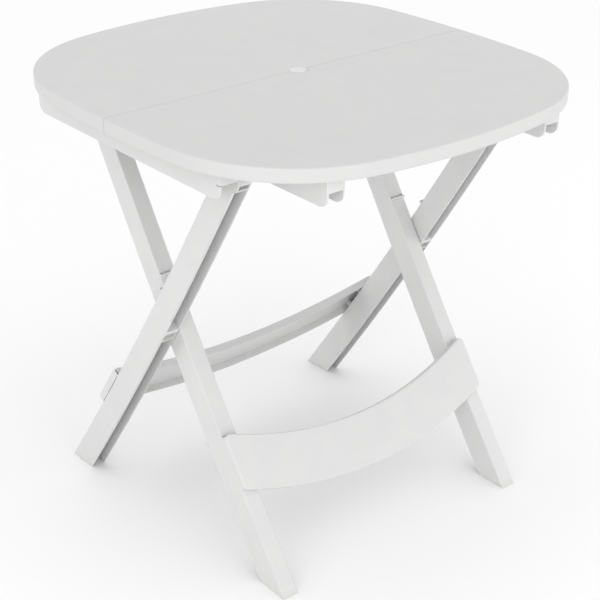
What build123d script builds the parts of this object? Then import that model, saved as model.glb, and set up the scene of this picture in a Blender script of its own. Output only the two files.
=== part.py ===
from build123d import *
from math import atan2, cos, hypot, sin, sqrt
import os

# Folding picnic table, moulded in one plastic. X runs along the seam between the two halves of
# the top, -Y is the front, +Z is up. The origin is on the floor below the middle of the seam.

# ---------------------------------------------------------------- driving dimensions (mm)
HEIGHT = 735.0
HALF_LENGTH = 360.0  # half of the top, along the seam
HALF_WIDTH = 386.0  # half of the top, across the seam
SIDE_RADIUS = 2050.0  # bow of the two sides that the seam meets
END_RADIUS = 918.0  # bow of the front and back sides
CORNER_RADIUS = 229.0
RIM_DEPTH = 22.0
RIM_LIP = 2.4  # the bottom of the rim is stepped inward over this height
RIM_LIP_STEP = 1.0
RIM_WALL = 3.2
RIM_ROUND = 2.6
SHEET = 4.0
SEAM_HALF_GAP = 0.4
SEAM_EDGE = 0.6  # rounding of the two halves' edges along the seam
LOWER_DEPTH = 11.2  # how far ribs and the seam wall hang below the sheet
RIB = 2.4
RIB_X = (-320.0, -240.0, -160.0, -80.0, 0.0, 80.0, 160.0, 240.0, 320.0)
RIB_Y = (75.0, 150.0, 225.0, 300.0)
UNDERSIDE = HEIGHT - SHEET
WALL_BOTTOM = UNDERSIDE - LOWER_DEPTH
FAR = 1000.0  # longer than any part of the table
EXTRA = 0.002  # makes a cut as wide as the wall leave no skin
BITE = 0.5  # overlap that joins two features of one moulding
PAST = 1.0  # a cut starts this far outside the face it opens

# legs: an arc through the foot, the crossing and the head, seen from the side
FOOT_Y = 256.5
CROSSING_Z = 372.0
HEAD_Y = 201.0
HEAD_Z = 690.0
LEG_HALF_DEPTH_TOP = 21.5
LEG_HALF_DEPTH_FOOT = 24.0
LEG_WALL = 3.0
LEG_EDGE = 1.3
LEG_SPARE = 40.0  # length below the floor, before the foot is cut
INNER_LEG_X = (230.5, 259.5)
OUTER_LEG_X = (260.5, 289.5)
LEG_BOSS = 3.5  # wall round a pin
HUB_BLOCK = (-10.0, 19.0)  # the channel is closed here, measured up from the crossing
HUB_POCKET = (-7.0, 10.0)
HUB_POCKET_DEPTH = 11.0
HEAD_WEB = (12.0, 9.0)  # a web across the channel, measured down from the head pin
LUG = (72.5, 76.0)  # stop lug on the upper face, with a slot above it
LUG_RISE = 4.5
LUG_SLOT = 3.0
LUG_SLOT_DEPTH = 2.0

# beams under the top that carry the leg heads
INNER_BEAM_X = (198.0, 229.5)
OUTER_BEAM_X = (290.5, 324.5)
BEAM_WALL = 3.0
BEAM_BOTTOM = 671.0
BEAM_TOP = 719.0
BEAM_OVERHANG = 231.0  # how far a beam reaches past the seam
BEAM_CORNER = 17.0
BEAM_EDGE = 1.0
BEAM_END_OPENING = 693.5
BEAM_WEB_Y = (-150.0, -75.0, 0.0, 75.0, 165.0)
BEAM_SCREW_Y = (28.0, 120.0, 212.0)
BEAM_BOSS = 4.0  # wall of the pivot bosses
BEAM_BOSS_REACH = 7.0
BEAM_TO_RIM = 0.4
BEAM_END_SHY = 5.5  # a beam stops this far inside the rim's face
SLIT_LENGTH = 8.0
SLIT_HEIGHT = 1.4
SLIT_Z = 694.0

# cross rails
RAIL_SEAT_S = -243.0  # middle of a rail's seat on a leg, measured down from the crossing
RAIL_TOP_RADIUS = 649.0
RAIL_BAND = 87.0
RAIL_PROUD = 14.0
RAIL_WALL = 3.0
RAIL_SAG = 46.0  # how far the middle of a rail hangs below its seats
RAIL_CORNER = 8.0
RAIL_EDGE = 2.0
RAIL_SEAT_GAP = 0.35

# pins, screws and the plug
PIN_RADIUS = 7.0
PIN_CLEARANCE = 0.08
PIN_CHAMFER = 0.6
PIN_END_GAP = 0.5
PRESS_GAP = 0.02
CROSSING_PIN_DEPTH = 14.0
HEAD_PIN_DEPTH = 20.0
SCREW_RADIUS = 2.0
SCREW_HEAD_RADIUS = 4.0
SCREW_HEAD_DEPTH = 2.6
SCREW_HEAD_ROUND = 1.2
SCREW_END_GAP = 1.0
SCREW_HEAD_GAP = 0.2  # the leg's wall is bowed, so the flat head stands this far off it
SCREW_FIT = 0.05
SCREW_HOLE_FIT = 0.2
SCREW_BOSS_RADIUS = 6.0
BEAM_SCREW_REACH = 10.0
RAIL_SCREW_REACH = 9.0
RAIL_SCREW_LOCAL_Y = (24.0, -24.0)
PLUG_RADIUS = 13.6
PLUG_FLANGE = 2.0
PLUG_BORE = 11.0
PLUG_SKIRT_WALL = 1.8
PLUG_GAP = 0.15
PLUG_SEAT = 0.05
PLUG_PROUD = 0.65  # the cap stands this far above the sheet
PLUG_ROUND = 0.8
PLUG_SKIRT = 10.0
PLUG_CAP = 1.0  # thickness between the flange and the hollow of the skirt
SOCKET_RADIUS = 17.0

os.makedirs("parts", exist_ok=True)


# ---------------------------------------------------------------- outline of the top
def corner_of_outline():
    """Centre of the front right corner arc, and the two unit vectors to its ends."""
    side = Vector(HALF_LENGTH - SIDE_RADIUS, 0)
    end = Vector(0, HALF_WIDTH - END_RADIUS)
    side_reach = SIDE_RADIUS - CORNER_RADIUS
    end_reach = END_RADIUS - CORNER_RADIUS
    across = end - side
    span = across.length
    along = (side_reach * side_reach - end_reach * end_reach + span * span) / (2 * span)
    rise = sqrt(side_reach * side_reach - along * along)
    direction = across.normalized()
    normal = Vector(-direction.Y, direction.X)
    if normal.X < 0:
        normal = normal * -1
    centre = side + direction * along + normal * rise
    return centre, (centre - side).normalized(), (centre - end).normalized()


CORNER, TO_SIDE, TO_END = corner_of_outline()
SIDE_CENTRE = Vector(HALF_LENGTH - SIDE_RADIUS, 0)
END_CENTRE = Vector(0, HALF_WIDTH - END_RADIUS)


def outline_wire(inset):
    """Lines of the top's outline, moved inward; runs inside a BuildLine block."""
    a = SIDE_CENTRE + TO_SIDE * (SIDE_RADIUS - inset)
    b = END_CENTRE + TO_END * (END_RADIUS - inset)
    middle = CORNER + (TO_SIDE + TO_END).normalized() * (CORNER_RADIUS - inset)
    x_end = HALF_LENGTH - inset
    y_end = HALF_WIDTH - inset
    for sx, sy in ((1, 1), (-1, 1), (-1, -1), (1, -1)):
        ThreePointArc((sx * a.X, sy * a.Y), (sx * middle.X, sy * middle.Y), (sx * b.X, sy * b.Y))
    for sx in (1, -1):
        ThreePointArc((sx * a.X, -a.Y), (sx * x_end, 0), (sx * a.X, a.Y))
    for sy in (1, -1):
        ThreePointArc((-b.X, sy * b.Y), (0, sy * y_end), (b.X, sy * b.Y))


def rim_y(x, inset=0.0):
    """How far out the rim stands from the seam at a given x."""
    on_end = END_CENTRE + TO_END * END_RADIUS
    if abs(x) <= on_end.X:
        radius = END_RADIUS - inset
        return END_CENTRE.Y + sqrt(radius * radius - x * x)
    radius = CORNER_RADIUS - inset
    return CORNER.Y + sqrt(radius * radius - (abs(x) - CORNER.X) ** 2)


# ---------------------------------------------------------------- centre line of a leg
def leg_circle():
    """Centre and radius, in (Y, Z), of the arc that a front leg's centre line follows."""
    (y1, z1), (y2, z2), (y3, z3) = (-FOOT_Y, 0.0), (0.0, CROSSING_Z), (HEAD_Y, HEAD_Z)
    d = 2 * (y1 * (z2 - z3) + y2 * (z3 - z1) + y3 * (z1 - z2))
    q1, q2, q3 = y1 * y1 + z1 * z1, y2 * y2 + z2 * z2, y3 * y3 + z3 * z3
    cy = (q1 * (z2 - z3) + q2 * (z3 - z1) + q3 * (z1 - z2)) / d
    cz = (q1 * (y3 - y2) + q2 * (y1 - y3) + q3 * (y2 - y1)) / d
    return cy, cz, hypot(y2 - cy, z2 - cz)


LEG_CY, LEG_CZ, LEG_RADIUS = leg_circle()
LEG_ANGLE = atan2(CROSSING_Z - LEG_CZ, -LEG_CY)
HEAD_S = LEG_RADIUS * (atan2(HEAD_Z - LEG_CZ, HEAD_Y - LEG_CY) - LEG_ANGLE)
FOOT_S = LEG_RADIUS * (atan2(-LEG_CZ, -FOOT_Y - LEG_CY) - LEG_ANGLE)


def leg_point(s, off, side):
    """(Y, Z) at arc length s above the crossing and off towards the leg's lower face."""
    angle = LEG_ANGLE + s / LEG_RADIUS
    radius = LEG_RADIUS + off
    return side * (LEG_CY + radius * cos(angle)), LEG_CZ + radius * sin(angle)


def leg_direction(s, side):
    """Unit vector in (Y, Z) up the leg at s."""
    angle = LEG_ANGLE + s / LEG_RADIUS
    return -side * sin(angle), cos(angle)


def half_depth(s):
    share = (s - FOOT_S) / (HEAD_S - FOOT_S)
    return LEG_HALF_DEPTH_FOOT + share * (LEG_HALF_DEPTH_TOP - LEG_HALF_DEPTH_FOOT)


def leg_band(s0, s1, upper, lower, side):
    """Closed lines of a stretch of leg. upper and lower give the offsets of its two edges."""
    mid = (s0 + s1) / 2
    u = [leg_point(s, upper(s), side) for s in (s0, mid, s1)]
    v = [leg_point(s, lower(s), side) for s in (s0, mid, s1)]
    ThreePointArc(*u)
    Line(u[2], v[2])
    ThreePointArc(v[2], v[1], v[0])
    Line(v[0], u[0])


# ---------------------------------------------------------------- top halves
def beam_screw_spots(x_pair, side):
    """(x, y) of the screws that hold one half's two beams; side is +1 for the back half."""
    x = (x_pair[0] + x_pair[1]) / 2
    return [(sx * x, side * y) for sx in (-1, 1) for y in BEAM_SCREW_Y]


def top_half(side, beam_x, with_socket):
    """One half of the top: sheet, rim, seam wall, ribs and screw bosses."""
    keep = (0, side * (SEAM_HALF_GAP + FAR / 2))
    keep_inner = (0, side * (SEAM_HALF_GAP + RIB + FAR / 2))
    with BuildPart() as half:
        # full depth block with a rounded upper edge
        with BuildSketch(Plane.XY.offset(HEIGHT - RIM_DEPTH)):
            with BuildLine():
                outline_wire(0)
            make_face()
            with Locations(keep):
                Rectangle(FAR, FAR, mode=Mode.INTERSECT)
        extrude(amount=RIM_DEPTH)
        top_edges = half.edges().group_by(Axis.Z)[-1]
        seam_edges = top_edges.filter_by(Axis.X)
        fillet([e for e in top_edges if e not in seam_edges], RIM_ROUND)
        seam_edges = half.edges().group_by(Axis.Z)[-1].filter_by(Axis.X)
        fillet(seam_edges, SEAM_EDGE)
        # stepped lower lip of the rim
        with BuildSketch(Plane.XY.offset(HEIGHT - RIM_DEPTH)):
            Rectangle(FAR, FAR)
            with BuildLine():
                outline_wire(RIM_LIP_STEP)
            make_face(mode=Mode.SUBTRACT)
        extrude(amount=RIM_LIP, mode=Mode.SUBTRACT)
        # hollow underside
        with BuildSketch(Plane.XY.offset(HEIGHT - RIM_DEPTH)):
            with BuildLine():
                outline_wire(RIM_WALL)
            make_face()
            with Locations(keep_inner):
                Rectangle(FAR, FAR, mode=Mode.INTERSECT)
        extrude(amount=RIM_DEPTH - SHEET, mode=Mode.SUBTRACT)
        # the seam wall is shallower than the rim, so that the other half's beams pass below it
        with BuildSketch(Plane.XY.offset(HEIGHT - RIM_DEPTH)):
            with Locations((0, side * (SEAM_HALF_GAP + RIB / 2))):
                Rectangle(2 * (HALF_LENGTH - RIM_WALL), RIB + EXTRA)
        extrude(amount=WALL_BOTTOM - (HEIGHT - RIM_DEPTH), mode=Mode.SUBTRACT)
        # ribs
        with BuildSketch(Plane.XY.offset(WALL_BOTTOM)):
            for x in RIB_X:
                with Locations((x, side * FAR / 2)):
                    Rectangle(RIB, FAR)
            for y in RIB_Y:
                with Locations((0, side * y)):
                    Rectangle(FAR, RIB)
            with BuildLine():
                outline_wire(RIM_WALL / 2)
            make_face(mode=Mode.INTERSECT)
            with Locations((0, side * (SEAM_HALF_GAP + RIB / 2 + FAR / 2))):
                Rectangle(FAR, FAR, mode=Mode.INTERSECT)
        extrude(amount=LOWER_DEPTH + BITE)
        # bosses for the beam screws
        spots = beam_screw_spots(beam_x, side)
        with BuildSketch(Plane.XY.offset(BEAM_TOP)):
            with Locations(*spots):
                Circle(SCREW_BOSS_RADIUS)
        extrude(amount=UNDERSIDE - BEAM_TOP + BITE)
        with BuildSketch(Plane.XY.offset(BEAM_TOP)):
            with Locations(*spots):
                Circle(SCREW_RADIUS + SCREW_FIT)
        extrude(amount=BEAM_SCREW_REACH, mode=Mode.SUBTRACT)
        if with_socket:
            # round socket for the plug, which crosses the seam into the other half's recess
            with BuildSketch(Plane.XY.offset(WALL_BOTTOM)):
                Circle(SOCKET_RADIUS)
            extrude(amount=HEIGHT - WALL_BOTTOM)
            with BuildSketch(Plane.XY.offset(HEIGHT)):
                Circle(PLUG_RADIUS + PLUG_GAP)
            extrude(amount=-PLUG_FLANGE, mode=Mode.SUBTRACT)
            with BuildSketch(Plane.XY.offset(HEIGHT)):
                Circle(PLUG_BORE)
            extrude(amount=-2 * RIM_DEPTH, mode=Mode.SUBTRACT)
        else:
            with BuildSketch(Plane.XY.offset(WALL_BOTTOM)):
                Circle(SOCKET_RADIUS + SEAM_HALF_GAP + RIB)
                with Locations(keep):
                    Rectangle(FAR, FAR, mode=Mode.INTERSECT)
            extrude(amount=LOWER_DEPTH + BITE)
            with BuildSketch(Plane.XY.offset(WALL_BOTTOM)):
                Circle(SOCKET_RADIUS + SEAM_HALF_GAP)
            extrude(amount=HEIGHT, mode=Mode.SUBTRACT)
    return half.part


# ---------------------------------------------------------------- beams
def beam(x_pair, sx, side):
    """An inverted channel under one half, reaching past the seam to its leg head."""
    x0, x1 = sorted((sx * x_pair[0], sx * x_pair[1]))
    middle = (x0 + x1) / 2
    width = x1 - x0
    overhang = -side * BEAM_OVERHANG
    end = rim_y(max(abs(x0), abs(x1)), BEAM_END_SHY)
    with BuildPart() as channel:
        # outer block, rounded at the lower corner of each end
        with BuildSketch(Plane.YZ.offset(x0)):
            with BuildLine():
                Polyline(
                    (overhang, BEAM_TOP),
                    (overhang, BEAM_BOTTOM),
                    (side * end, BEAM_BOTTOM),
                    (side * end, BEAM_TOP),
                    close=True,
                )
            make_face()
        extrude(amount=width)
        low_ends = channel.edges().filter_by(Axis.X).group_by(Axis.Z)[0]
        fillet(low_ends, BEAM_CORNER)
        fillet(channel.faces().filter_by(Axis.X).edges(), BEAM_EDGE)
        # the rim stands in front of the beam's top at the outer end
        with BuildSketch(Plane.XY.offset(HEIGHT - RIM_DEPTH - BEAM_TO_RIM / 2)):
            with Locations((0, side * FAR / 2)):
                Rectangle(FAR, FAR)
            with BuildLine():
                outline_wire(RIM_WALL + BEAM_TO_RIM)
            make_face(mode=Mode.SUBTRACT)
        extrude(amount=RIM_DEPTH, mode=Mode.SUBTRACT)
        # channel, closed at the top and ends
        inner_end = end - BEAM_WALL
        length = inner_end + BEAM_OVERHANG - BEAM_WALL
        centre_y = side * (inner_end - length / 2)
        with BuildSketch(Plane.XY.offset(BEAM_BOTTOM)):
            with Locations((middle, centre_y)):
                Rectangle(width - 2 * BEAM_WALL, length)
            with BuildLine():
                outline_wire(max(BEAM_END_SHY, RIM_WALL + BEAM_TO_RIM) + BEAM_WALL)
            make_face(mode=Mode.INTERSECT)
        extrude(amount=BEAM_TOP - BEAM_WALL - BEAM_BOTTOM, mode=Mode.SUBTRACT)
        with BuildSketch(Plane.XY.offset(BEAM_BOTTOM)):
            with Locations((middle, 0)):
                Rectangle(width - 2 * BEAM_WALL, FAR)
        extrude(amount=BEAM_END_OPENING - BEAM_BOTTOM, mode=Mode.SUBTRACT)
        # stiffening webs across the channel
        with BuildSketch(Plane.XY.offset(BEAM_END_OPENING)):
            with Locations(*[(middle, side * y) for y in BEAM_WEB_Y]):
                Rectangle(width - BEAM_WALL, RIB)
        extrude(amount=BEAM_TOP - BEAM_WALL / 2 - BEAM_END_OPENING)
        # pivot: a bored boss on the plate beside the leg, a blind socket on the other plate
        near = x_pair[0] if x_pair[0] > OUTER_LEG_X[0] else x_pair[1]
        far = x_pair[1] if near == x_pair[0] else x_pair[0]
        inward = 1 if far > near else -1
        pivot = (-side * HEAD_Y, HEAD_Z)
        with BuildSketch(Plane.YZ.offset(sx * (near + inward * BEAM_WALL / 2))):
            with Locations(pivot):
                Circle(PIN_RADIUS + BEAM_BOSS)
        extrude(amount=sx * inward * BEAM_BOSS_REACH)
        with BuildSketch(Plane.YZ.offset(sx * (far - inward * BEAM_WALL / 2))):
            with Locations(pivot):
                Circle(PIN_RADIUS + BEAM_BOSS)
        extrude(amount=-sx * inward * BEAM_BOSS_REACH)
        with BuildSketch(Plane.YZ.offset(sx * (near - inward * PAST))):
            with Locations(pivot):
                Circle(PIN_RADIUS + PIN_CLEARANCE)
        extrude(amount=sx * inward * (width - BEAM_WALL / 2 + PAST), mode=Mode.SUBTRACT)
        # slit in the outer plate at the free end
        if near == x_pair[0]:
            with BuildSketch(Plane.YZ.offset(sx * (far + PAST))):
                with Locations((overhang + side * SLIT_LENGTH / 2, SLIT_Z)):
                    Rectangle(SLIT_LENGTH, SLIT_HEIGHT)
            extrude(amount=-sx * (BEAM_WALL + 2 * PAST), mode=Mode.SUBTRACT)
        # screw holes in the top wall
        with BuildSketch(Plane.XY.offset(BEAM_TOP - 2 * BEAM_WALL)):
            with Locations(*[(middle, side * y) for y in BEAM_SCREW_Y]):
                Circle(SCREW_RADIUS + SCREW_HOLE_FIT)
        extrude(amount=3 * BEAM_WALL, mode=Mode.SUBTRACT)
    return channel.part


# ---------------------------------------------------------------- legs
def rail_plane(side):
    """Plane on the legs' upper faces at the rail; local y runs up the legs."""
    y, z = leg_point(RAIL_SEAT_S, -half_depth(RAIL_SEAT_S) - RAIL_SEAT_GAP, side)
    dy, dz = leg_direction(RAIL_SEAT_S, side)
    x_dir = Vector(side, 0, 0)
    return Plane(origin=(0, y, z), x_dir=x_dir, z_dir=x_dir.cross(Vector(0, dy, dz)))


def rail_screw_spots(x_pair, ends):
    """Points on rail_plane of the screws into the named ends of a rail."""
    x = (x_pair[0] + x_pair[1]) / 2
    return [(end * x, y) for end in ends for y in RAIL_SCREW_LOCAL_Y]


def leg(x_pair, sx, side, outer):
    """A channel leg, closed on its upper face. side is +1 when the foot is at the front."""
    x0, x1 = sorted((sx * x_pair[0], sx * x_pair[1]))
    below = FOOT_S - LEG_SPARE
    head = leg_point(HEAD_S, 0, side)
    with BuildPart() as channel:
        with BuildSketch(Plane.YZ.offset(x0)):
            with BuildLine():
                leg_band(below, HEAD_S, lambda s: -half_depth(s), half_depth, side)
            make_face()
            with BuildLine():
                leg_band(*LUG, lambda s: -half_depth(s) - LUG_RISE, lambda s: 0.0, side)
            make_face()
            with Locations(head):
                Circle(LEG_HALF_DEPTH_TOP)
        extrude(amount=x1 - x0)
        # the foot is cut level with the floor, and the long edges are rounded
        split(bisect_by=Plane.XY, keep=Keep.TOP)
        flank_edges = channel.faces().filter_by(Axis.X).edges()
        fillet(flank_edges, LEG_EDGE)
        # slot above the stop lug
        with BuildSketch(Plane.YZ.offset(x0 + LEG_WALL / 2)):
            with BuildLine():
                leg_band(LUG[1], LUG[1] + LUG_SLOT, lambda s: -half_depth(s) - LUG_RISE,
                         lambda s: LUG_SLOT_DEPTH - half_depth(s), side)
            make_face()
        extrude(amount=x1 - x0 - LEG_WALL, mode=Mode.SUBTRACT)
        # hollow stretches, open on the lower face
        stretches = (
            (below, HUB_BLOCK[0], LEG_WALL),
            (*HUB_POCKET, 2 * half_depth(0) - HUB_POCKET_DEPTH),
            (HUB_BLOCK[1], HEAD_S - HEAD_WEB[0], LEG_WALL),
            (HEAD_S - HEAD_WEB[1], HEAD_S, LEG_WALL),
        )
        with BuildSketch(Plane.YZ.offset(x0 + LEG_WALL)):
            for s0, s1, floor in stretches:
                with BuildLine():
                    leg_band(s0, s1, lambda s: floor - half_depth(s),
                             lambda s: half_depth(s) + LEG_WALL, side)
                make_face()
            with Locations(head):
                Circle(LEG_HALF_DEPTH_TOP - LEG_WALL)
            with Locations(head, (0, CROSSING_Z)):
                Circle(PIN_RADIUS + LEG_BOSS, mode=Mode.SUBTRACT)
        extrude(amount=x1 - x0 - 2 * LEG_WALL, mode=Mode.SUBTRACT)
        # blind bore for the crossing pin, beside the other frame's leg
        crossing_x = sx * (x_pair[0] if outer else x_pair[1])
        inward = sx if outer else -sx
        with BuildSketch(Plane.YZ.offset(crossing_x - inward * PAST)):
            with Locations((0, CROSSING_Z)):
                Circle(PIN_RADIUS + (PRESS_GAP if outer else PIN_CLEARANCE))
        extrude(amount=inward * (PAST + CROSSING_PIN_DEPTH + PIN_END_GAP), mode=Mode.SUBTRACT)
        # blind bore for the head pin, beside the beam
        beam_x = sx * (x_pair[1] if outer else x_pair[0])
        with BuildSketch(Plane.YZ.offset(beam_x + inward * PAST)):
            with Locations(head):
                Circle(PIN_RADIUS + PRESS_GAP)
        extrude(amount=-inward * (PAST + HEAD_PIN_DEPTH + PIN_END_GAP), mode=Mode.SUBTRACT)
        # holes for the rail screws, through the upper wall
        with BuildSketch(rail_plane(side).offset(PAST)):
            with Locations(*rail_screw_spots(x_pair, (sx * side,))):
                Circle(SCREW_RADIUS + SCREW_HOLE_FIT)
        extrude(amount=-PAST - 2 * LEG_WALL, mode=Mode.SUBTRACT)
    return channel.part


# ---------------------------------------------------------------- rails
def rail_outline(half_length, inset):
    """Lines of the bowed band; runs inside a BuildLine block."""
    x = half_length - inset
    centre = RAIL_TOP_RADIUS + RAIL_BAND / 2 - RAIL_SAG
    upper = RAIL_TOP_RADIUS + inset
    lower = RAIL_TOP_RADIUS + RAIL_BAND - inset
    top_y = centre - sqrt(upper * upper - x * x)
    low_y = centre - sqrt(lower * lower - x * x)
    ThreePointArc((-x, top_y), (0, centre - upper), (x, top_y))
    Line((x, top_y), (x, low_y))
    ThreePointArc((x, low_y), (0, centre - lower), (-x, low_y))
    Line((-x, low_y), (-x, top_y))


def rail(x_pair, side):
    """A bowed shallow tray across the legs' upper faces, open towards the legs."""
    half_length = x_pair[1]
    plane = rail_plane(side)
    outward = Axis((0, 0, 0), plane.z_dir)
    spots = rail_screw_spots(x_pair, (-1, 1))
    with BuildPart() as tray:
        with BuildSketch(plane):
            with BuildLine():
                rail_outline(half_length, 0)
            make_face()
        extrude(amount=RAIL_PROUD)
        fillet(tray.edges().filter_by(outward), RAIL_CORNER)
        fillet(tray.faces().sort_by(outward)[-1].edges(), RAIL_EDGE)
        with BuildSketch(plane):
            with BuildLine():
                rail_outline(half_length, RAIL_WALL)
            make_face()
        extrude(amount=RAIL_PROUD - RAIL_WALL, mode=Mode.SUBTRACT)
        # bosses over the legs, bored for the screws
        with BuildSketch(plane):
            with Locations(*spots):
                Circle(SCREW_BOSS_RADIUS)
        extrude(amount=RAIL_PROUD - RAIL_WALL + BITE)
        with BuildSketch(plane):
            with Locations(*spots):
                Circle(SCREW_RADIUS + SCREW_FIT)
        extrude(amount=RAIL_SCREW_REACH, mode=Mode.SUBTRACT)
    return tray.part


# ---------------------------------------------------------------- pins, screws and the plug
def screws(plane, spots, grip, reach):
    """Pan head screws whose heads bear on a wall that starts grip below the plane."""
    with BuildPart() as group:
        with BuildSketch(plane.offset(-grip - SCREW_HEAD_DEPTH)):
            with Locations(*spots):
                Circle(SCREW_HEAD_RADIUS)
        extrude(amount=SCREW_HEAD_DEPTH)
        undersides = group.faces().sort_by(Axis((0, 0, 0), plane.z_dir))[:len(spots)]
        fillet(undersides.edges(), SCREW_HEAD_ROUND)
        with BuildSketch(plane.offset(-grip - BITE)):
            with Locations(*spots):
                Circle(SCREW_RADIUS)
        extrude(amount=grip + BITE + reach - SCREW_END_GAP)
    return group.part


def pins(centre_yz, x_start, x_stop):
    """A left and a right pin along X with chamfered ends."""
    length = x_stop - x_start
    with BuildPart() as pair:
        for sx in (-1, 1):
            with BuildSketch(Plane.YZ.offset(sx * x_start)):
                with Locations(centre_yz):
                    Circle(PIN_RADIUS)
            extrude(amount=sx * length)
        chamfer(pair.edges().filter_by(GeomType.CIRCLE), PIN_CHAMFER)
    return pair.part


def plug():
    """Cap for the umbrella hole: a flush disc on a hollow skirt."""
    seat = HEIGHT - PLUG_FLANGE + PLUG_SEAT
    with BuildPart() as cap:
        with BuildSketch(Plane.XY.offset(seat)):
            Circle(PLUG_RADIUS)
        extrude(amount=HEIGHT + PLUG_PROUD - seat)
        fillet(cap.edges().group_by(Axis.Z)[-1], PLUG_ROUND)
        with BuildSketch(Plane.XY.offset(seat)):
            Circle(PLUG_BORE - PLUG_GAP)
        extrude(amount=-PLUG_SKIRT)
        with BuildSketch(Plane.XY.offset(seat - PLUG_CAP)):
            Circle(PLUG_BORE - PLUG_GAP - PLUG_SKIRT_WALL)
        extrude(amount=-PLUG_SKIRT, mode=Mode.SUBTRACT)
    return cap.part


# ---------------------------------------------------------------- the pieces
head_pin_out = OUTER_LEG_X[1] - HEAD_PIN_DEPTH
head_pin_in = INNER_BEAM_X[0] + BEAM_WALL / 2 + PIN_END_GAP
head_pin_stop = OUTER_BEAM_X[1] - BEAM_WALL / 2 - PIN_END_GAP
rail_grip = LEG_WALL + RAIL_SEAT_GAP + SCREW_HEAD_GAP
pieces = {
    "top_half_back": top_half(1, OUTER_BEAM_X, True),
    "top_half_front": top_half(-1, INNER_BEAM_X, False),
    "outer_beam_left": beam(OUTER_BEAM_X, -1, 1),
    "outer_beam_right": beam(OUTER_BEAM_X, 1, 1),
    "inner_beam_left": beam(INNER_BEAM_X, -1, -1),
    "inner_beam_right": beam(INNER_BEAM_X, 1, -1),
    "beam_screws_back": screws(
        Plane.XY.offset(BEAM_TOP), beam_screw_spots(OUTER_BEAM_X, 1), BEAM_WALL, BEAM_SCREW_REACH
    ),
    "beam_screws_front": screws(
        Plane.XY.offset(BEAM_TOP), beam_screw_spots(INNER_BEAM_X, -1), BEAM_WALL, BEAM_SCREW_REACH
    ),
    "outer_leg_left": leg(OUTER_LEG_X, -1, -1, True),
    "outer_leg_right": leg(OUTER_LEG_X, 1, -1, True),
    "inner_leg_left": leg(INNER_LEG_X, -1, 1, False),
    "inner_leg_right": leg(INNER_LEG_X, 1, 1, False),
    "back_rail": rail(OUTER_LEG_X, -1),
    "front_rail": rail(INNER_LEG_X, 1),
    "rail_screws_back": screws(
        rail_plane(-1), rail_screw_spots(OUTER_LEG_X, (-1, 1)), rail_grip, RAIL_SCREW_REACH
    ),
    "rail_screws_front": screws(
        rail_plane(1), rail_screw_spots(INNER_LEG_X, (-1, 1)), rail_grip, RAIL_SCREW_REACH
    ),
    "crossing_pins": pins(
        (0, CROSSING_Z), INNER_LEG_X[1] - CROSSING_PIN_DEPTH, OUTER_LEG_X[0] + CROSSING_PIN_DEPTH
    ),
    "outer_head_pins": pins((-HEAD_Y, HEAD_Z), head_pin_out, head_pin_stop),
    "inner_head_pins": pins((HEAD_Y, HEAD_Z), head_pin_in, INNER_LEG_X[0] + HEAD_PIN_DEPTH),
    "umbrella_hole_plug": plug(),
}
for name, piece in pieces.items():
    piece.label = name
    export_step(piece, f"parts/{name}.step")
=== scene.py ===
# %% [markdown]
# # A folding picnic table in white moulded plastic
#
# The table is a set of injection mouldings: two halves of the top, two beams under each half, two
# frames of curved channel legs with a bowed cross rail each, and a cap for the umbrella hole. The
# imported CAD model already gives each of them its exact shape, joints and place. This script
# dresses those parts. It gives every part the finish of its real material, then sets a floor,
# lights and a camera. All lengths are in metres, in the frame of the CAD model: X runs along the
# seam of the top, -Y is the front and Z is up, with the floor at Z = 0.

import math

import bpy
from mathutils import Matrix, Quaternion, Vector

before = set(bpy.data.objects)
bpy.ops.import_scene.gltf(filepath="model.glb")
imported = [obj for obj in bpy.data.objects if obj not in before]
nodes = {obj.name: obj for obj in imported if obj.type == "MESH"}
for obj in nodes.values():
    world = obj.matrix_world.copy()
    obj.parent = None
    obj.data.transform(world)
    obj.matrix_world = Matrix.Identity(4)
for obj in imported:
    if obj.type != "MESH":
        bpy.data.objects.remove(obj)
bpy.context.view_layer.update()

# %% [markdown]
# ## Helpers
#
# Colours are written as the hex values that a colour picker shows, which are sRGB. Blender's
# shaders work in linear light, so one function converts them. A second function adds a shader
# node, sets its values and links its inputs. On a Mix node, inputs 6 and 7 are its two colours
# and output 2 is the mixed colour. Building the tree in code this way keeps each finish readable
# from top to bottom, where the same tree made by hand would be hidden in a file.

# %% Colour and node helpers
MM = 0.001


def linear(hex_colour):
    """Linear RGBA from an sRGB hex value."""
    channels = []
    for i in (1, 3, 5):
        c = int(hex_colour[i : i + 2], 16) / 255
        channels.append(c / 12.92 if c <= 0.04045 else ((c + 0.055) / 1.055) ** 2.4)
    return (*channels, 1.0)


def add(material, kind, values=None, links=None, **settings):
    """Adds one node. Settings are its fields, values its inputs, links the sources of inputs."""
    tree = material.node_tree
    made = tree.nodes.new(kind)
    for field, value in settings.items():
        setattr(made, field, value)
    for socket, value in (values or {}).items():
        made.inputs[socket].default_value = value
    for socket, source in (links or {}).items():
        tree.links.new(source, made.inputs[socket])
    return made


def new_material(name):
    """An empty node material with its output node."""
    material = bpy.data.materials.new(name)
    material.use_nodes = True
    material.node_tree.nodes.clear()
    output = add(material, "ShaderNodeOutputMaterial")
    return material, output


# %% [markdown]
# ## The skin of the top
#
# The top is injection-moulded polypropylene, coloured white all through. Its mould is finely
# textured on the show side, so the skin is satin: it mirrors the room only as a soft haze. Three
# things keep it from looking like a flat colour. The melt flows out from the gates and leaves
# very faint cloudy bands. The texture shows as a fine grain where light grazes it. And wiping
# leaves patches a little glossier than others. A noise pattern gives each of the three, in Object
# coordinates, so that the pattern is fixed in the part and turns with it.
#
# The bands and patches have their real size. The real grain is about 0.3 mm, too fine to show
# here, so it is drawn at 1.6 mm.

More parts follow.
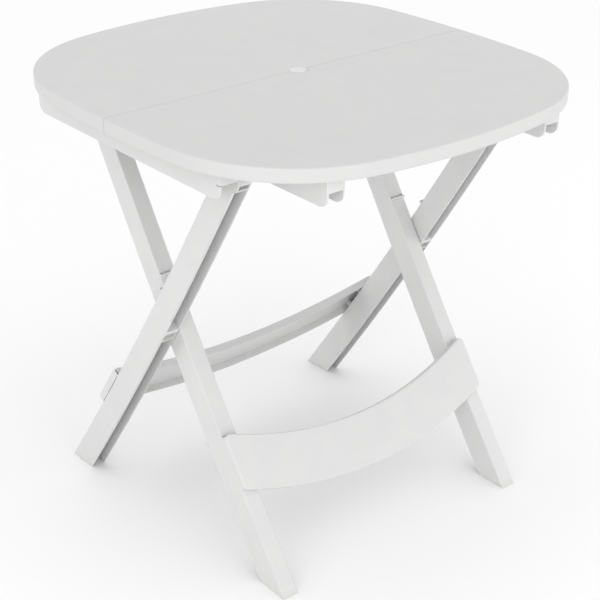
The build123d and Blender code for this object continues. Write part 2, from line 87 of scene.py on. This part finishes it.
# %% Polypropylene with a textured skin, for the top
TOP_WHITE = "#CFCFCE"
TOP_FLOW = "#CACACA"
FLOW_BAND = 90 * MM
WIPED_PATCH = 45 * MM
GRAIN = 1.6 * MM
GRAIN_DEPTH = 0.03 * MM
GRAIN_STRENGTH = 0.25
TOP_ROUGHNESS = (0.30, 0.38)
POLYPROPYLENE_IOR = 1.49

top_skin, out = new_material("polypropylene_textured_skin")
place = add(top_skin, "ShaderNodeTexCoord")
flow = add(
    top_skin, "ShaderNodeTexNoise",
    {"Scale": 1 / FLOW_BAND, "Detail": 3.0, "Roughness": 0.45, "Distortion": 1.2},
    {"Vector": place.outputs["Object"]},
)
flow_colour = add(
    top_skin, "ShaderNodeMix",
    {6: linear(TOP_WHITE), 7: linear(TOP_FLOW)},
    {"Factor": flow.outputs["Fac"]},
    data_type="RGBA",
)
wiped = add(
    top_skin, "ShaderNodeTexNoise",
    {"Scale": 1 / WIPED_PATCH, "Detail": 4.0, "Roughness": 0.55},
    {"Vector": place.outputs["Object"]},
)
wiped_range = add(
    top_skin, "ShaderNodeMapRange",
    {"From Min": 0.3, "From Max": 0.7, "To Min": TOP_ROUGHNESS[0], "To Max": TOP_ROUGHNESS[1]},
    {"Value": wiped.outputs["Fac"]},
)
grain = add(
    top_skin, "ShaderNodeTexNoise",
    {"Scale": 1 / GRAIN, "Detail": 2.0, "Roughness": 0.5},
    {"Vector": place.outputs["Object"]},
)
grain_bump = add(
    top_skin, "ShaderNodeBump",
    {"Strength": GRAIN_STRENGTH, "Distance": GRAIN_DEPTH},
    {"Height": grain.outputs["Fac"]},
)
skin = add(
    top_skin, "ShaderNodeBsdfPrincipled",
    {"IOR": POLYPROPYLENE_IOR, "Metallic": 0.0},
    {
        "Base Color": flow_colour.outputs[2],
        "Roughness": wiped_range.outputs["Result"],
        "Normal": grain_bump.outputs["Normal"],
    },
)
top_skin.node_tree.links.new(skin.outputs["BSDF"], out.inputs["Surface"])
print("top skin nodes:", len(top_skin.node_tree.nodes))

# %% [markdown]
# ## The frame plastic
#
# Legs, rails and beams are the same polypropylene from smoother moulds, so they are a little
# glossier. Long thin mouldings also show shallow waves where the wall cooled unevenly over the
# ribs, which a low, wide bump gives. The legs stand on the ground, so the last centimetre is
# dulled and greyed by grit. That mask is a height above the floor, broken up by noise.

# %% Smooth polypropylene, for legs, rails and beams
FRAME_WHITE = "#D7D7D6"
FRAME_SHADE = "#D0D0D0"
GRIT_GREY = "#CBCAC7"
FRAME_FLOW_BAND = 50 * MM
GRIT_HEIGHT = 14 * MM
GRIT_SIZE = 4 * MM
SINK_WAVE = 32 * MM
SINK_DEPTH = 0.12 * MM
SINK_STRENGTH = 0.5
CLEAN_ROUGHNESS = 0.27
GRITTY_ROUGHNESS = 0.5

frame_plastic, out = new_material("polypropylene_smooth")
place = add(frame_plastic, "ShaderNodeTexCoord")
flow = add(
    frame_plastic, "ShaderNodeTexNoise",
    {"Scale": 1 / FRAME_FLOW_BAND, "Detail": 3.0, "Roughness": 0.5, "Distortion": 0.8},
    {"Vector": place.outputs["Object"]},
)
clean_colour = add(
    frame_plastic, "ShaderNodeMix",
    {6: linear(FRAME_WHITE), 7: linear(FRAME_SHADE)},
    {"Factor": flow.outputs["Fac"]},
    data_type="RGBA",
)
height = add(frame_plastic, "ShaderNodeSeparateXYZ", None, {"Vector": place.outputs["Object"]})
near_floor = add(
    frame_plastic, "ShaderNodeMapRange",
    {"From Min": GRIT_HEIGHT, "From Max": 0.0, "To Min": 0.0, "To Max": 1.0},
    {"Value": height.outputs["Z"]},
)
grit = add(
    frame_plastic, "ShaderNodeTexNoise",
    {"Scale": 1 / GRIT_SIZE, "Detail": 4.0, "Roughness": 0.6},
    {"Vector": place.outputs["Object"]},
)
grit_mask = add(
    frame_plastic, "ShaderNodeMath", None,
    {0: near_floor.outputs["Result"], 1: grit.outputs["Fac"]}, operation="MULTIPLY",
)
worn_colour = add(
    frame_plastic, "ShaderNodeMix",
    {7: linear(GRIT_GREY)},
    {"Factor": grit_mask.outputs["Value"], 6: clean_colour.outputs[2]},
    data_type="RGBA",
)
roughness = add(
    frame_plastic, "ShaderNodeMapRange",
    {"From Min": 0.0, "From Max": 0.6, "To Min": CLEAN_ROUGHNESS, "To Max": GRITTY_ROUGHNESS},
    {"Value": grit_mask.outputs["Value"]},
)
sink = add(
    frame_plastic, "ShaderNodeTexNoise",
    {"Scale": 1 / SINK_WAVE, "Detail": 1.0, "Roughness": 0.4},
    {"Vector": place.outputs["Object"]},
)
sink_bump = add(
    frame_plastic, "ShaderNodeBump",
    {"Strength": SINK_STRENGTH, "Distance": SINK_DEPTH},
    {"Height": sink.outputs["Fac"]},
)
plastic = add(
    frame_plastic, "ShaderNodeBsdfPrincipled",
    {"IOR": POLYPROPYLENE_IOR, "Metallic": 0.0},
    {
        "Base Color": worn_colour.outputs[2],
        "Roughness": roughness.outputs["Result"],
        "Normal": sink_bump.outputs["Normal"],
    },
)
frame_plastic.node_tree.links.new(plastic.outputs["BSDF"], out.inputs["Surface"])
print("frame plastic nodes:", len(frame_plastic.node_tree.nodes))

# %% [markdown]
# ## The cap, the pins and the screws
#
# The umbrella hole's cap is soft polyethylene, which is waxy: a touch whiter and duller than the
# top. The pivot pins are glass-filled nylon, off-white with specks of fibre. The screws are zinc
# plated steel, a bluish metal with a mottled sheen. Only the screws are metal, and they keep
# Blender's own index of refraction.

# %% Polyethylene, nylon and zinc
CAP_WHITE = "#DEDEDD"
CAP_SHADE = "#D8D8D8"
NYLON_WHITE = "#D9D6CC"
NYLON_SPECK = "#BFBBB0"
ZINC_LIGHT = "#C9CCD1"
ZINC_DARK = "#9EA3AA"

# for each one: two colours, mottle size, roughness, metallic, index of refraction
SMALL_FINISHES = {
    "polyethylene_cap": (CAP_WHITE, CAP_SHADE, 8 * MM, 0.42, 0.0, 1.51),
    "nylon_glass_filled": (NYLON_WHITE, NYLON_SPECK, 0.8 * MM, 0.45, 0.0, 1.53),
    "steel_zinc_plated": (ZINC_LIGHT, ZINC_DARK, 1.5 * MM, 0.32, 1.0, 1.5),
}
small = {}
for name, (first, second, size, rough, metal, ior) in SMALL_FINISHES.items():
    material, out = new_material(name)
    place = add(material, "ShaderNodeTexCoord")
    mottle = add(
        material, "ShaderNodeTexNoise",
        {"Scale": 1 / size, "Detail": 3.0, "Roughness": 0.6},
        {"Vector": place.outputs["Object"]},
    )
    colour = add(
        material, "ShaderNodeMix",
        {6: linear(first), 7: linear(second)},
        {"Factor": mottle.outputs["Fac"]},
        data_type="RGBA",
    )
    spread = add(
        material, "ShaderNodeMapRange",
        {"To Min": rough - 0.05, "To Max": rough + 0.08},
        {"Value": mottle.outputs["Fac"]},
    )
    finish = add(
        material, "ShaderNodeBsdfPrincipled",
        {"IOR": ior, "Metallic": metal},
        {"Base Color": colour.outputs[2], "Roughness": spread.outputs["Result"]},
    )
    material.node_tree.links.new(finish.outputs["BSDF"], out.inputs["Surface"])
    small[name] = material
print("small finishes:", sorted(small))

# %% [markdown]
# ## Dress the parts
#
# Each CAD part came in with one placeholder material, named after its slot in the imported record.
# Swapping the material in that slot changes the looks and leaves the mesh alone.

# %% Give each part its finish
FINISH_OF_SLOT = {
    "top": top_skin,
    "frame": frame_plastic,
    "plug": small["polyethylene_cap"],
    "pivot_pins": small["nylon_glass_filled"],
    "steel_screws": small["steel_zinc_plated"],
}
for part in nodes.values():
    for slot in part.material_slots:
        slot.material = FINISH_OF_SLOT[slot.material.name.split(".")[0]]
print("dressed:", {p.material_slots[0].material.name for p in nodes.values()})

# %% [markdown]
# ## Floor
#
# A white object is usually shown on a pale paper sweep. The floor is a plain disc of matt paper,
# wide enough to fill the camera's view. Paper scatters light evenly, so a plain diffuse shader is
# enough.

# %% Floor
PAPER_WHITE = "#FBFBFB"
FLOOR_RADIUS = 14.0
bpy.ops.object.select_all(action="DESELECT")
bpy.ops.mesh.primitive_circle_add(
    vertices=96, radius=FLOOR_RADIUS, fill_type="NGON", location=(0, 0, 0)
)
floor = bpy.context.active_object
floor.name = "studio_floor"
paper, out = new_material("matt_paper_sweep")
paper_shader = add(paper, "ShaderNodeBsdfDiffuse", {"Color": linear(PAPER_WHITE)})
paper.node_tree.links.new(paper_shader.outputs["BSDF"], out.inputs["Surface"])
floor.data.materials.append(paper)
print("floor radius, m:", FLOOR_RADIUS)

# %% [markdown]
# ## Light
#
# White on white only reads if each face gets a different share of light. Most of it comes from a
# white world, like the walls of a light tent, and it also fills the hollows of the channels. The
# key is a large soft box low on the left, so the upright faces that turn to it come out brighter
# than the top. A weak box in front lifts the long edge of the top, and a small one low on the
# right gives the other sides their sheen.

# %% World and soft boxes
WORLD_STRENGTH = 1.0
# for each one: place, side of the square in metres, power in watts
SOFT_BOXES = {
    "key_left": ((-3.0, -1.75, 1.1), 1.8, 19.0),
    "front": ((-0.5, -3.6, 1.3), 1.8, 16.0),
    "right": ((2.6, -2.2, 0.7), 1.4, 7.0),
}
AIM = Vector((0.0, 0.0, 0.4))

world = bpy.data.worlds.new("soft_white")
world.use_nodes = True
backdrop = world.node_tree.nodes["Background"]
backdrop.inputs["Color"].default_value = (1.0, 1.0, 1.0, 1.0)
backdrop.inputs["Strength"].default_value = WORLD_STRENGTH
bpy.context.scene.world = world
bpy.context.scene.view_settings.view_transform = "Standard"

for name, (location, size, power) in SOFT_BOXES.items():
    lamp = bpy.data.lights.new(name, "AREA")
    lamp.shape = "SQUARE"
    lamp.size = size
    lamp.energy = power
    box = bpy.data.objects.new(name, lamp)
    box.location = location
    box.rotation_mode = "QUATERNION"
    box.rotation_quaternion = (Vector(location) - AIM).to_track_quat("Z", "Y")
    bpy.context.scene.collection.objects.link(box)
print("soft boxes:", sorted(SOFT_BOXES))

# %% [markdown]
# ## Camera
#
# The camera stands at the front left, well above the top, far enough away for a long lens, which
# keeps the legs from splaying. Its direction is built from an azimuth and an elevation, and a
# slight roll.

# %% Camera
SHOT_AZIMUTH = math.radians(-39.390)
SHOT_ELEVATION = math.radians(26.617)
SHOT_ROLL = math.radians(0.142)
SHOT_FROM = Vector((-1.4095, -1.7237, 1.4467))
LENS_MM = 88.236
SENSOR_MM = 36.0
backward = Vector(
    (
        math.sin(SHOT_AZIMUTH) * math.cos(SHOT_ELEVATION),
        -math.cos(SHOT_AZIMUTH) * math.cos(SHOT_ELEVATION),
        math.sin(SHOT_ELEVATION),
    )
)
lens = bpy.data.cameras.new("shot")
lens.sensor_width = SENSOR_MM
lens.lens = LENS_MM
camera = bpy.data.objects.new("shot", lens)
camera.location = SHOT_FROM
camera.rotation_mode = "QUATERNION"
level = backward.to_track_quat("Z", "Y")
camera.rotation_quaternion = level @ Quaternion((0, 0, 1), SHOT_ROLL)
bpy.context.scene.collection.objects.link(camera)
bpy.context.scene.camera = camera
print("camera at", [round(c, 3) for c in camera.location])

# %% [markdown]
# ## Finish
#
# The view layer is brought up to date, so that every placed object is current.

# %% Finish
bpy.context.view_layer.update()
